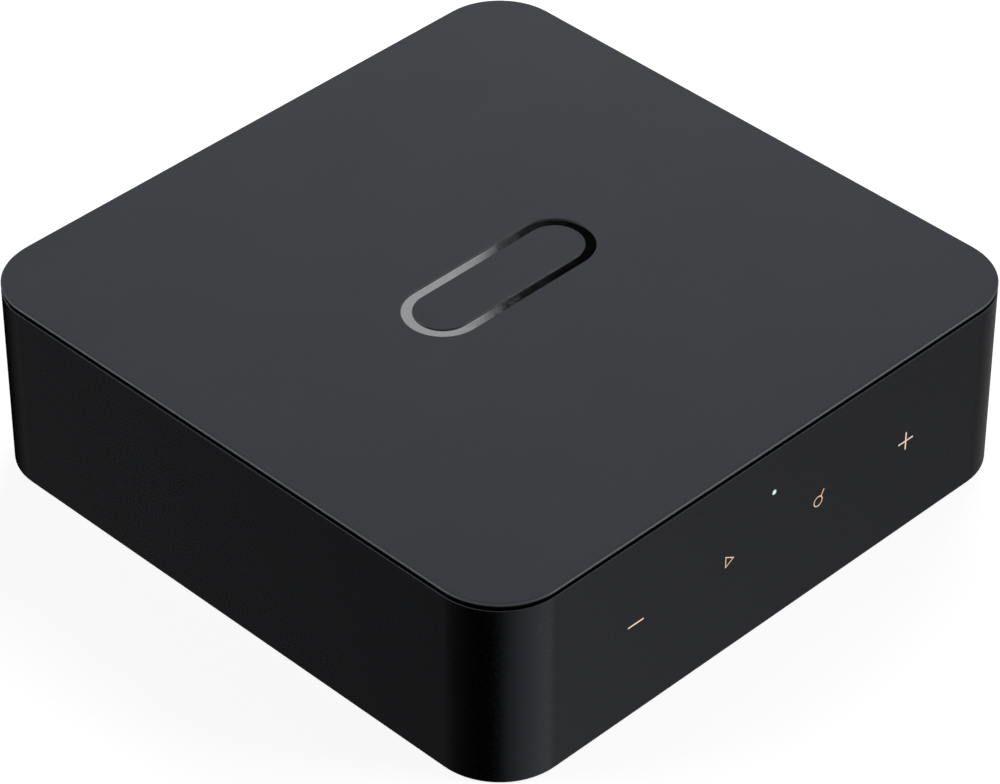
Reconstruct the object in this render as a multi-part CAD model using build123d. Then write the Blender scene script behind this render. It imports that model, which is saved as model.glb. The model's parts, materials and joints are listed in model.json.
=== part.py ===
from build123d import *
import os

# A network music player, built as it comes apart on a bench. It is a low square box with
# rounded corners: an inverted tub closed from below by a screwed base, with a thin top plate
# clipped over its deck. A board inside carries the radio, the processor and a row of sockets
# that look out through the rear wall.
#
# Lengths are millimetres. +Z is up, the touch marks face -Y and the sockets face +Y.
# The origin is the centre of the face that the foot pad rests on. A gap is left beside what
# a piece fits, an inset runs in from an edge, and a share is of the size that it follows.

# Overall size of the box, without the phono sockets that stand out of its rear wall
body_width = 140.0
body_height = 42.0
corner_radius = 13.8

# Clearances and cuts that all pieces share
fit_gap = 0.15
seat_gap = 0.05
overrun = 1.0

# Housing shell
side_wall = 2.0
deck_thickness = 1.8
shell_bevel = 0.2
reveal_height = 0.8

# Screw columns of the shell, with a rib to the side wall and a lug that holds the board down
column_side_inset = 17.0
column_end_inset = 28.0
column_width = 7.0
column_rib = 1.2
column_rib_foot = 6.5
lug_width = 3.0
lug_reach = 4.0
lug_height = 6.0

# Top plate, held by hooks that snap under the deck
plate_thickness = 2.0
plate_lip = 0.75
plate_lap = 1.2
plate_bevel = 0.45
hook_width = 5.0
hook_stem = 1.2
hook_barb = 0.6
hook_barb_height = 1.0
hook_inset = 5.0
hook_spacing = 42.0

# Polished oval ring, pressed into a groove in the middle of the top plate
inlay_length = 45.4
inlay_width = 15.9
inlay_band = 2.2
inlay_recess = 0.3
inlay_height = 0.8

# Foot pad, a sheet of rubber in a recess of the base cover
pad_inset = 11.0
pad_radius = 8.0
pad_thickness = 1.6
pad_stand = 0.3

# Base cover with a rib along each wall, screw towers and board posts
base_thickness = 2.7
base_rib = 1.2
base_rib_height = 2.0
tower_wall = 1.8
tower_height = 2.5
tower_roof = 1.6
post_width = 6.0
post_rib = 1.4
post_height = 6.4
post_inset = 4.0
middle_post_share = 0.77

# Housing screws, pan heads under the foot pad. They and their holes are many and hidden, so
# they have flat sides to keep the model light.
screw_head = 2.6
screw_head_height = 1.8
screw_shank = 1.4
screw_length = 10.0
screw_sides = 8

# Ballast plate, bonded to the base between the board posts
ballast_gap = 2.5
ballast_thickness = 3.0

# Main board, a broad strip behind the rear wall and a narrower field between the columns
board_thickness = 1.6
board_column_gap = 2.0
board_front_gap = 22.0
board_side_gap = 6.5
board_rear_gap = 1.5

# Processor under its heat sink
processor_share = (0.13, 0.49)
module_size = (36.0, 32.0, 1.0)
shield_size = (26.0, 22.0, 2.2)
thermal_size = (24.0, 20.0, 1.0)
sink_size = (44.0, 38.0, 8.0)
sink_base = 2.0
fin_count = 10
fin_thickness = 1.4

# Radio module at a corner of the field, with its antenna plugs
radio_side_inset = 9.0
radio_front_inset = 4.0
radio_size = (13.0, 18.0, 0.8)
radio_shield_size = (12.0, 10.5, 1.8)
plug_size = (2.8, 2.8, 2.0)
plug_bevel = 0.8
plug_spread = 6.4

# Antennas on the side walls, and the six-sided cables that feed them. A cable bends at shares
# of the way along X, Y and Z from its plug to the antenna.
antenna_length = 34.0
antenna_height = 7.0
antenna_thickness = 0.4
antenna_rib_gap = 2.4
antenna_drop = 7.5
cable_radius = 0.56
cable_sides = 6
cable_bend_share = 0.45
left_cable_shares = [(0.31, 0.10, 0.12), (0.72, 0.46, 0.63)]
right_cable_shares = [(0.33, 0.04, -0.05), (0.78, 0.30, 0.28)]
cable_feed_share = 0.58

# Loose components. Places are shares of the board's field: across from -1 to 1 and along
# from its front edge at 0 to its rear edge at 1.
audio_chip_sizes = [(7.0, 7.0, 0.9), (6.5, 4.4, 1.1), (5.0, 4.0, 1.5), (5.0, 4.0, 1.5)]
audio_chip_shares = [(-0.50, 0.56), (-0.72, 0.84), (-0.46, 0.84), (-0.21, 0.86)]
power_chip_sizes = [(6.6, 6.1, 2.3), (5.0, 4.0, 1.5), (4.0, 4.0, 0.9), (8.0, 6.0, 0.8)]
power_chip_shares = [(0.80, 0.53), (0.80, 0.30), (0.63, 0.22), (0.30, 0.18)]
film_capacitor_size = (7.3, 4.3, 2.8)
film_capacitor_shares = [(-0.86, 0.56), (-0.86, 0.64), (-0.70, 0.71), (0.84, 0.65), (0.30, 0.84)]
can_radius = 3.15
can_height = 7.7
can_sides = 16
can_shares = [(-0.72, 0.45), (0.50, 0.86)]
inductor_size = (7.0, 7.0, 4.0)
inductor_bevel = 1.2
inductor_shares = [(0.80, 0.41), (0.08, 0.86)]
crystal_size = (3.2, 2.5, 0.8)
crystal_shares = [(-0.30, 0.24), (0.10, 0.23)]
transformer_size = (12.7, 9.0, 5.0)
transformer_share = (0.79, 0.93)

# Touch board in a pocket of the front wall, with the status light
touch_pocket = 0.8
touch_board_thickness = 1.0
touch_board_margin = 6.9
touch_board_lift = 3.6
touch_board_drop = 3.6
touch_mark_lift = 6.6
touch_mark_pitch = 24.4
touch_mark_count = 4
touch_pad_width = 9.0
touch_pad_thickness = 0.1
touch_chip_size = (4.0, 4.0, 0.9)
touch_chip_share = 0.60
led_size = (2.6, 2.2, 0.9)
led_drop = 4.0
pipe_tip = 0.6
pipe_collar = 1.9
pipe_sides = 12

# Ribbon between the boards, and its sockets
ribbon_width = 8.0
ribbon_thickness = 0.3
ribbon_bend = 4.5
ribbon_share = -0.04
ribbon_insert = 1.5
ribbon_socket_wall = 1.2
ribbon_socket_depth = 4.0
ribbon_socket_lift = 3.4
ribbon_socket_height = 2.2

# Rear sockets. They spread in one row along the straight part of the rear wall, from the power
# socket at +X to the optical input at -X. In a narrow box they close up and the corners tighten.
socket_end_gap = 0.55
socket_least_gap = 0.3
socket_stand = 0.3

# Power socket, an oval metal shell round a plastic tongue
power_width = 9.0
power_size = (8.94, 3.26)
power_wall = 0.31
power_depth = 8.0
power_back = 2.4
power_core_gap = 2.0
tongue_size = (6.7, 4.6, 0.7)

# Network socket: housing, sheet shield, sprung contacts and two light pipes
network_width = 16.0
network_height = 13.4
network_depth = 16.0
network_sheet = 0.25
network_mouth = (11.9, 7.0, 11.6)
network_mouth_lift = 3.6
network_latch = [(6.2, 1.2), (4.0, 0.8)]
contact_pitch = 1.02
contact_count = 8
contact_width = 0.42
contact_thickness = 0.3
contact_root = 1.8
contact_set_back = 1.4
contact_run = 6.2
contact_drop = 1.9
network_pipe = (2.4, 1.2)
network_pipe_lift = 11.6
network_pipe_spread = 9.6

# Trigger jack, a small round one
jack_width = 6.2
jack_bore = 1.8
jack_bore_depth = 12.0
jack_collar = 2.9
jack_length = 13.0
jack_height = 6.8
jack_axis_lift = 3.5
jack_leaf = (0.3, 7.0, 2.6)
jack_leaf_set_back = 5.0

# Optical sockets: a shaped port shut by a shutter that hangs on trunnions behind the frame
optical_width = 9.7
optical_depth = 13.5
optical_port = 6.4
optical_port_lift = 1.6
optical_port_cut = 1.1
optical_frame = 0.9
optical_roof = 0.9
optical_window = 3.0
optical_module_size = (8.0, 3.4, 8.0)
hinge_lift = 0.8
shutter_overlap = 0.25
shutter_thickness = 0.7
shutter_front = 0.75
shutter_knuckle = 1.0
shutter_side_gap = 0.1
trunnion_radius = 0.4
trunnion_length = 0.7

# Torsion spring, a square wire wound round the bar in a notch at one end of each shutter
spring_wire = 0.2
spring_radius = 0.62
spring_turns = 2.25
spring_steps = 8
spring_pitch = 0.32
spring_notch_width = 1.3
spring_notch_reach = 0.8
spring_leg = 3.0
spring_hook = 0.35

# Phono sockets: block, coloured insulator, metal sleeve and centre contact
phono_width = 10.0
phono_pitch = 11.5
phono_block_depth = 10.0
phono_block_height = 15.2
phono_axis_lift = 9.0
phono_flange = 4.9
phono_flange_stand = 0.5
phono_flange_root = 2.0
phono_sleeve = 4.15
phono_sleeve_wall = 0.5
phono_stand = 8.5
phono_core_set_back = 0.4
phono_hole = 2.0
phono_contact_wall = 0.33
phono_contact_bore = 1.62
phono_contact_set_back = 1.6
phono_core_sides = 16

# The row of sockets, its gaps and the corners beside it
socket_row = [
    ("power", power_width),
    ("network", network_width),
    ("trigger", jack_width),
    ("optical_out", optical_width),
    ("coax_out", phono_width),
    ("line_out", phono_pitch + phono_width),
    ("line_in", phono_pitch + phono_width),
    ("optical_in", optical_width),
]
half_width = body_width / 2
row_width = sum(width for name, width in socket_row)
row_gaps = len(socket_row) - 1
straight_wall = 2 * (half_width - corner_radius - socket_end_gap)
socket_gap = max(socket_least_gap, (straight_wall - row_width) / row_gaps)
row_half = (row_width + row_gaps * socket_gap) / 2
corner = min(corner_radius, half_width - row_half)

# Levels from the shelf upwards
inner_half = half_width - side_wall
inner_radius = corner - side_wall
shell_bottom = pad_stand
base_top = shell_bottom + base_thickness
tower_top = base_top + tower_height
screw_seat = tower_top - tower_roof
board_bottom = base_top + post_height
board_top = board_bottom + board_thickness
deck_top = body_height - plate_thickness
deck_bottom = deck_top - deck_thickness
plate_underside = body_height - plate_lip
shell_top = plate_underside - reveal_height
inlay_top = body_height - inlay_recess
inlay_bottom = inlay_top - inlay_height

# Middle of the screw columns, edges of the main board and what stands by them
column_x = half_width - column_side_inset
column_y = half_width - column_end_inset
field_half = column_x - column_width / 2 - board_column_gap
field_front = board_front_gap - inner_half
field_rear = column_y + column_width / 2 + board_column_gap
field_depth = field_rear - field_front
strip_half = inner_half - board_side_gap
board_rear = inner_half - board_rear_gap
post_x = field_half - post_inset
front_post_y = field_front + post_inset
middle_post_y = field_front + middle_post_share * field_depth
rear_post_x = strip_half - post_inset
rear_post_y = field_rear + post_inset

# Edges of the touch board and what it carries
pocket_face = -inner_half - touch_pocket
touch_front = pocket_face + touch_pad_thickness
touch_back = touch_front + touch_board_thickness
touch_reach = (touch_mark_count - 1) * touch_mark_pitch / 2
touch_half = touch_reach + touch_pad_width / 2 + touch_board_margin
touch_low = board_top + touch_board_lift
touch_high = deck_bottom - touch_board_drop
touch_mark_z = touch_low + touch_mark_lift
led_z = touch_high - led_drop

# Middle of the antennas, and of the radio module with its plugs on the free end
antenna_y = -column_y + column_rib / 2 + antenna_rib_gap + antenna_length / 2
antenna_z = deck_bottom - antenna_drop - antenna_height / 2
radio_x = radio_side_inset + radio_size[0] / 2 - field_half
radio_front = field_front + radio_front_inset
radio_rear = radio_front + radio_size[1]
radio_top = board_top + radio_size[2]
plug_y = (radio_front + radio_rear - radio_shield_size[1]) / 2

# Face that the sockets share, and the axes of the round ones
socket_face = half_width + socket_stand
power_z = board_top + power_size[1] / 2
jack_z = board_top + jack_axis_lift
phono_z = board_top + phono_axis_lift
phono_end = half_width + phono_stand
phono_root = inner_half - phono_flange_root
flange_end = half_width + phono_flange_stand

# Optical sockets: the port, the axis of the shutter and the space that it swings in
port_low = board_top + optical_port_lift
port_high = port_low + optical_port
port_middle = (port_low + port_high) / 2
frame_back = socket_face - optical_frame
hinge_y = frame_back - seat_gap - shutter_front
hinge_z = port_high + hinge_lift
shutter_half = optical_port / 2 + shutter_overlap
shutter_low = port_low - shutter_overlap
swing_reach = Vector(shutter_front, hinge_z - shutter_low).length
cavity_half = shutter_half + shutter_side_gap
cavity_low = hinge_z - swing_reach - shutter_side_gap
cavity_high = hinge_z + shutter_front + shutter_side_gap
cavity_back = hinge_y - swing_reach - shutter_side_gap
optical_top = cavity_high + optical_roof


def block(across, along, up):
    """A box between two values on each axis, in either order."""
    spans = [sorted(span) for span in (across, along, up)]
    sizes = [high - low for low, high in spans]
    middle = [(low + high) / 2 for low, high in spans]
    return Pos(*middle) * Box(*sizes)


def around(middle, width):
    """The two ends of a width centred on a value."""
    return middle - width / 2, middle + width / 2


def standing(size, x, y, floor):
    """A box of size (x, y, z) that stands on the level floor, centred on x and y."""
    return Pos(x, y, floor + size[2] / 2) * Box(*size)


def slab(width, radius, low, high):
    """A square slab with round corners between two levels."""
    return Pos(0, 0, low) * extrude(RectangleRounded(width, width, radius), high - low)


def many_sided(radius, sides, x, y, low, high):
    """A bar along Z with flat sides."""
    return Pos(x, y, low) * extrude(RegularPolygon(radius, sides), high - low)


def along_y(radius, x, z, near, far):
    """A round bar along Y."""
    bar = Cylinder(radius, far - near, align=(Align.CENTER, Align.CENTER, Align.MIN))
    return Pos(x, near, z) * Rot(-90, 0, 0) * bar


def sided_along_y(radius, sides, x, z, near, far):
    """A bar along Y with flat sides."""
    return Pos(x, near, z) * Rot(90, 0, 0) * extrude(RegularPolygon(radius, sides), near - far)


def along_x(radius, y, z, low, high):
    """A round bar along X."""
    bar = Cylinder(radius, high - low, align=(Align.CENTER, Align.CENTER, Align.MIN))
    return Pos(low, y, z) * Rot(0, 90, 0) * bar


def turned(points, x, z):
    """A body turned about an axis along Y, from points (radius, y)."""
    return Pos(x, 0, z) * revolve(make_face(Polyline(*points, close=True)), Axis.Y)


def side_profile(points, low, high):
    """A closed outline of points (y, z), extruded along X."""
    outline = Plane.YZ * make_face(Polyline(*points, close=True))
    return Pos(low, 0, 0) * extrude(outline, high - low, dir=(1, 0, 0))


def mirrored_pairs(x, *ys):
    """Places at x and -x for each y."""
    return [(side * x, y) for y in ys for side in (-1, 1)]


def group(pieces):
    """Several separate solids in one node."""
    return Compound(children=[piece.solids()[0] for piece in pieces])


def column_places():
    return mirrored_pairs(column_x, -column_y, column_y)


def post_places():
    return mirrored_pairs(post_x, front_post_y, middle_post_y) + mirrored_pairs(rear_post_x, rear_post_y)


def hook_places():
    """Hooks stand along the front and rear edges of the top plate, three to an edge."""
    return [(step * hook_spacing, side) for step in (-1, 0, 1) for side in (-1, 1)]


def on_field(share):
    """A place on the board's field from its shares."""
    return share[0] * field_half, field_front + share[1] * field_depth


def socket_places():
    """Middle of each socket along X, from the widths and the gap between them."""
    places = {}
    edge = row_half
    for name, width in socket_row:
        places[name] = edge - width / 2
        edge -= width + socket_gap
    return places


sockets = socket_places()
# Seen from the rear, the left channel of a pair comes first
left_places = [sockets[pair] + phono_pitch / 2 for pair in ("line_out", "line_in")]
right_places = [sockets[pair] - phono_pitch / 2 for pair in ("line_out", "line_in")]
phono_places = [sockets["coax_out"]] + left_places + right_places
optical_places = [sockets["optical_out"], sockets["optical_in"]]


def oval_ring(grow, low, high):
    """The inlay's ring between two levels, grown on both sides of its band."""
    hole = 2 * (inlay_band + grow)
    outline = SlotOverall(inlay_length + 2 * grow, inlay_width + 2 * grow)
    outline -= SlotOverall(inlay_length - hole, inlay_width - hole)
    return Pos(0, 0, low) * extrude(outline, high - low)


def top_plate():
    """Thin plate with a bevelled lip, a groove for the oval ring and snap hooks."""
    lip = slab(body_width, corner, plate_underside, body_height)
    lip = chamfer(lip.faces().sort_by(Axis.Z)[-1].edges(), plate_bevel)
    tray = slab(body_width - 2 * plate_lap, corner - plate_lap, deck_top, plate_underside)
    plate = lip + tray - oval_ring(0, inlay_bottom, body_height + overrun)
    outer = half_width - plate_lap - hook_inset
    inner = outer - hook_stem
    catch = deck_bottom - seat_gap
    tip = catch - hook_barb_height
    for x, side in hook_places():
        outline = [
            (side * inner, deck_top),
            (side * outer, deck_top),
            (side * outer, catch),
            (side * (outer + hook_barb), catch),
            (side * outer, tip),
            (side * inner, tip),
        ]
        plate += side_profile(outline, *around(x, hook_width))
    return plate


def top_inlay():
    """Polished ring that lies just under the plate's face."""
    return oval_ring(-seat_gap, inlay_bottom, inlay_top)


def column(x, y):
    """Square screw column with its rib, and a lug towards the board on the side that faces it."""
    side = 1 if x > 0 else -1
    low, high = tower_top, deck_bottom + deck_thickness / 2
    wall = side * (inner_half + side_wall / 2)
    body = block(around(x, column_width), around(y, column_width), (low, high))
    body += block((x, wall), around(y, column_rib), (low + column_rib_foot, high))
    lug_levels = (board_top + seat_gap, board_top + lug_height)
    reach = column_width / 2 + lug_reach
    if y > 0:
        body += block(around(x, lug_width), (y, y + reach), lug_levels)
    else:
        body += block((x, x - side * reach), around(y, lug_width), lug_levels)
    pilot_top = screw_seat + screw_length + overrun
    return body, many_sided(screw_shank + seat_gap, screw_sides, x, y, low - overrun, pilot_top)


def rear_cutouts():
    """Holes in the rear wall, each a fit gap larger than its socket."""
    near, far = inner_half - overrun, half_width + overrun
    grown = [size + 2 * fit_gap for size in power_size]
    network = around(sockets["network"], network_width + 2 * fit_gap)
    cuts = [
        oval_bar(*grown, sockets["power"], power_z, near, far),
        block(network, (near, far), (board_top - fit_gap, board_top + network_height + fit_gap)),
    ]
    for x in optical_places:
        across = around(x, optical_width + 2 * fit_gap)
        cuts.append(block(across, (near, far), (board_top - fit_gap, optical_top + fit_gap)))
    cuts.append(along_y(jack_collar + fit_gap, sockets["trigger"], jack_z, near, far))
    cuts += [along_y(phono_flange + fit_gap, x, phono_z, near, far) for x in phono_places]
    return cuts


def housing_shell():
    """Inverted tub: four walls, a deck under the top plate and screw columns."""
    outside = slab(body_width, corner, shell_bottom, shell_top)
    outside = chamfer(outside.faces().sort_by(Axis.Z)[-1].edges(), shell_bevel)
    bay = slab(body_width - 2 * side_wall, inner_radius, shell_bottom - overrun, deck_bottom)
    seat_width = body_width - 2 * plate_lap + 2 * fit_gap
    seat = slab(seat_width, corner - plate_lap + fit_gap, deck_top, shell_top + overrun)
    shell = outside - bay - seat
    for x, y in column_places():
        body, pilot = column(x, y)
        shell = shell + body - pilot
    outer = half_width - plate_lap - hook_inset + fit_gap
    inner = outer - hook_stem - 2 * fit_gap
    through = (deck_bottom - overrun, deck_top + overrun)
    for x, side in hook_places():
        shell -= block(around(x, hook_width + 2 * fit_gap), (side * inner, side * outer), through)
    shell -= block(
        around(0, 2 * (touch_half + fit_gap)),
        (pocket_face, overrun - inner_half),
        (touch_low - fit_gap, touch_high + fit_gap),
    )
    pipe_levels = (-half_width - overrun, pocket_face + overrun)
    shell -= sided_along_y(pipe_tip + seat_gap, pipe_sides, 0, led_z, *pipe_levels)
    return shell - rear_cutouts()


def board_post(x, y):
    """Cross-shaped post that the main board stands on."""
    levels = (base_top, board_bottom)
    return block(around(x, post_width), around(y, post_rib), levels) + block(
        around(x, post_rib), around(y, post_width), levels
    )


def base_cover():
    """Floor of the box: pad recess, wall ribs, screw towers and board posts."""
    half = inner_half - fit_gap
    base = slab(2 * half, inner_radius - fit_gap, shell_bottom, base_top)
    rib_levels = (base_top, base_top + base_rib_height)
    straight = 2 * (inner_half - inner_radius)
    for side in (-1, 1):
        band = (side * half, side * (half - base_rib))
        base += block(band, around(0, straight), rib_levels)
        base += block(around(0, straight), band, rib_levels)
    pad_width = body_width - 2 * pad_inset
    base -= slab(pad_width + 2 * fit_gap, pad_radius + fit_gap, shell_bottom - overrun, pad_thickness)
    pocket = 2 * (screw_head + fit_gap)
    for x, y in column_places():
        tower = pocket + 2 * tower_wall
        base += block(around(x, tower), around(y, tower), (base_top, tower_top))
        base -= block(around(x, pocket), around(y, pocket), (shell_bottom - overrun, screw_seat))
        base -= many_sided(screw_shank + fit_gap, screw_sides, x, y, screw_seat, tower_top + overrun)
    for x, y in post_places():
        base += board_post(x, y)
    return base


def foot_pad():
    """Rubber sheet that hides the housing screws."""
    return slab(body_width - 2 * pad_inset, pad_radius, 0, pad_thickness)


def housing_screw(x, y):
    """A pan head screw driven from below."""
    head = many_sided(screw_head, 2 * screw_sides, x, y, screw_seat - screw_head_height, screw_seat)
    return head + many_sided(screw_shank, screw_sides, x, y, screw_seat, screw_seat + screw_length)


def ballast_plate():
    reach = post_x - post_width / 2 - ballast_gap
    rear = middle_post_y + post_width / 2
    return block((-reach, reach), (front_post_y, rear), (base_top, base_top + ballast_thickness))


def main_board():
    """Printed board with a wide strip under the sockets."""
    strip = block((-strip_half, strip_half), (field_rear, board_rear), (board_bottom, board_top))
    return strip + block((-field_half, field_half), (field_front, field_rear), (board_bottom, board_top))


def box_parts():
    return {
        "top_plate": top_plate(),
        "top_inlay": top_inlay(),
        "housing_shell": housing_shell(),
        "base_cover": base_cover(),
        "foot_pad": foot_pad(),
        "housing_screws": group([housing_screw(x, y) for x, y in column_places()]),
        "ballast_plate": ballast_plate(),
        "main_board": main_board(),
    }


def heat_sink(x, y, floor):
    """Finned block over the processor."""
    width, depth, height = sink_size
    sink = standing((width, depth, sink_base), x, y, floor)
    step = (width - fin_thickness) / (fin_count - 1)
    for number in range(fin_count):
        fin_x = x - (width - fin_thickness) / 2 + number * step
        sink += standing((fin_thickness, depth, height - sink_base), fin_x, y, floor + sink_base)
    return sink


def processor_stack():
    """Module, shield can, thermal pad and heat sink, each on top of the last."""
    x, y = on_field(processor_share)
    module_top = board_top + module_size[2]
    shield_top = module_top + shield_size[2]
    return {
        "processor_module": standing(module_size, x, y, board_top),
        "processor_shield": standing(shield_size, x, y, module_top),
        "thermal_pad": standing(thermal_size, x, y, shield_top),
        "heat_sink": heat_sink(x, y, shield_top + thermal_size[2]),
    }


def antenna_plug(side):
    """Small eight-sided plug on the radio module."""
    plug = standing(plug_size, radio_x + side * plug_spread / 2, plug_y, radio_top)
    return chamfer(plug.edges().filter_by(Axis.Z), plug_bevel)


def antenna(side):
    """Strip antenna on the inside of a side wall."""
    return block(
        (side * inner_half, side * (inner_half - antenna_thickness)),
        around(antenna_y, antenna_length),
        around(antenna_z, antenna_height),
    )


def cable(points, name):
    """Straight runs joined by tangent arcs, each as large as its two runs allow."""
    radii = []
    for before, bend, after in zip(points, points[1:], points[2:]):
        run_in, run_out = bend - before, after - bend
        quarter = Vector(1, 0, 0).rotate(Axis.Z, run_in.get_angle(run_out) / 2)
        shorter = min(run_in.length, run_out.length)
        radii.append(cable_bend_share * shorter * quarter.X / quarter.Y)
    path = FilletPolyline(*points, radius=radii)
    section = RegularPolygon(cable_radius, cable_sides)
    tube = sweep(Plane(origin=path @ 0, z_dir=path % 0) * section, path=path)
    share = tube.volume / (section.area * path.length)
    print(name, "radii", [round(r, 1) for r in radii], "length", round(path.length, 1))
    print(name, "volume as a share of section times length", round(share, 4))
    return tube


def antenna_cable(side, shares, name):
    """Cable from a plug to the feed point of an antenna."""
    plug_edge = radio_x + side * (plug_spread / 2 + plug_size[0] / 2 + fit_gap)
    start = Vector(plug_edge, plug_y, radio_top + plug_size[2] / 2)
    wall_line = inner_half - antenna_thickness - cable_radius - seat_gap
    feed = antenna_y - antenna_length / 2 + cable_feed_share * antenna_length
    way = Vector(side * wall_line, feed, antenna_z) - start
    points = [start + Vector(x * way.X, y * way.Y, z * way.Z) for x, y, z in shares]
    return cable([start] + points + [start + way], name)


def radio_parts():
    radio_y = (radio_front + radio_rear) / 2
    shield_y = radio_rear - radio_shield_size[1] / 2
    return {
        "wifi_module": standing(radio_size, radio_x, radio_y, board_top),
        "wifi_shield": standing(radio_shield_size, radio_x, shield_y, radio_top),
        "antenna_plugs": group([antenna_plug(-1), antenna_plug(1)]),
        "antenna_left": antenna(-1),
        "antenna_right": antenna(1),
        "antenna_cable_left": antenna_cable(-1, left_cable_shares, "antenna_cable_left"),
        "antenna_cable_right": antenna_cable(1, right_cable_shares, "antenna_cable_right"),
    }


def chips(sizes, shares):
    return group([standing(size, *on_field(share), board_top) for size, share in zip(sizes, shares)])


def same_chips(size, shares):
    return chips([size] * len(shares), shares)


def inductor(share):
    body = standing(inductor_size, *on_field(share), board_top)
    return chamfer(body.edges().filter_by(Axis.Z), inductor_bevel)


def board_components():
    levels = (board_top, board_top + can_height)
    cans = [many_sided(can_radius, can_sides, *on_field(share), *levels) for share in can_shares]
    return {
        "audio_chips": chips(audio_chip_sizes, audio_chip_shares),
        "power_chips": chips(power_chip_sizes, power_chip_shares),
        "film_capacitors": same_chips(film_capacitor_size, film_capacitor_shares),
        "electrolytic_capacitors": group(cans),
        "power_inductors": group([inductor(share) for share in inductor_shares]),
        "crystals": same_chips(crystal_size, crystal_shares),
        "network_transformer": standing(transformer_size, *on_field(transformer_share), board_top),
    }


def touch_assembly():
    """Touch board in the pocket of the front wall, with its pads, chip, LED and light pipe."""
    board = block((-touch_half, touch_half), (touch_front, touch_back), (touch_low, touch_high))
    hole = pipe_collar + 2 * seat_gap
    board -= block(around(0, hole), (touch_front - overrun, touch_back + overrun), around(led_z, hole))
    marks = [step * touch_mark_pitch - touch_reach for step in range(touch_mark_count)]
    pads = [
        block(around(x, touch_pad_width), (pocket_face, touch_front), around(touch_mark_z, touch_pad_width))
        for x in marks
    ]
    chip_width, chip_height, chip_depth = touch_chip_size
    chip = block(
        around(touch_chip_share * touch_half, chip_width),
        (touch_back, touch_back + chip_depth),
        around(touch_mark_z, chip_height),
    )
    led = block(around(0, led_size[0]), (touch_back, touch_back + led_size[2]), around(led_z, led_size[1]))
    pipe = sided_along_y(pipe_tip, pipe_sides, 0, led_z, -half_width, pocket_face)
    pipe += block(around(0, pipe_collar), (pocket_face, touch_back), around(led_z, pipe_collar))
    return {
        "touch_board": board,
        "touch_pads": group(pads),
        "touch_chip": chip,
        "status_led": led,
        "status_light_pipe": pipe,
    }


def ribbon(grow):
    """Flat cable down from the touch board, round a bend and back to the main board."""
    lower = board_top + ribbon_socket_height / 2
    behind = touch_back + ribbon_socket_height / 2
    start = Vector(behind, touch_low + ribbon_socket_lift + ribbon_insert)
    end = Vector(field_front + ribbon_insert, lower)
    centre_line = FilletPolyline(start, Vector(behind, lower), end, radius=ribbon_bend)
    outline = Plane.YZ * trace(centre_line, ribbon_thickness + 2 * grow)
    width = ribbon_width + 2 * grow
    return Pos(ribbon_share * field_half - width / 2, 0, 0) * extrude(outline, width, dir=(1, 0, 0))


def ribbon_parts():
    """The ribbon and the two sockets that it is pushed into."""
    across = around(ribbon_share * field_half, ribbon_width + 2 * ribbon_socket_wall)
    low = touch_low + ribbon_socket_lift
    space = ribbon(seat_gap)
    main_socket = block(
        across,
        (field_front, field_front + ribbon_socket_depth),
        (board_top, board_top + ribbon_socket_height),
    )
    touch_socket = block(
        across,
        (touch_back, touch_back + ribbon_socket_height),
        (low, low + ribbon_socket_depth),
    )
    return {
        "touch_ribbon": ribbon(0),
        "ribbon_socket_main": main_socket - space,
        "ribbon_socket_touch": touch_socket - space,
    }


def oval_bar(width, height, x, z, near, far):
    """A bar along Y with a stadium section."""
    return Pos(x, near, z) * Rot(90, 0, 0) * extrude(SlotOverall(width, height), near - far)


def power_socket():
    """Oval shell open at the rear face, with a tongue on a plastic back."""
    x = sockets["power"]
    width, height = power_size
    inner_width, inner_height = width - 2 * power_wall, height - 2 * power_wall
    back = socket_face - power_depth
    shell = oval_bar(width, height, x, power_z, back, socket_face)
    shell -= oval_bar(inner_width, inner_height, x, power_z, back - overrun, socket_face + overrun)
    core_size = (inner_width - power_core_gap, inner_height - 2 * seat_gap)
    core = block(around(x, core_size[0]), (back, back + power_back), around(power_z, core_size[1]))
    tongue_width, tongue_reach, tongue_thickness = tongue_size
    core += block(
        around(x, tongue_width),
        (back + power_back, back + power_back + tongue_reach),
        around(power_z, tongue_thickness),
    )
    return {"power_socket_shell": shell, "power_socket_tongue": core}


def network_contact(x, ceiling):
    """One sprung wire: a root against the ceiling, then a slope down into the mouth."""
    root_front = socket_face - contact_set_back
    root_back = root_front - contact_root
    tip = root_back - contact_run
    outline = [
        (root_front, ceiling),
        (root_back, ceiling),
        (tip, ceiling - contact_drop),
        (tip, ceiling - contact_drop - contact_thickness),
        (root_back, ceiling - contact_thickness),
        (root_front, ceiling - contact_thickness),
    ]
    return side_profile(outline, *around(x, contact_width))


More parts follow.
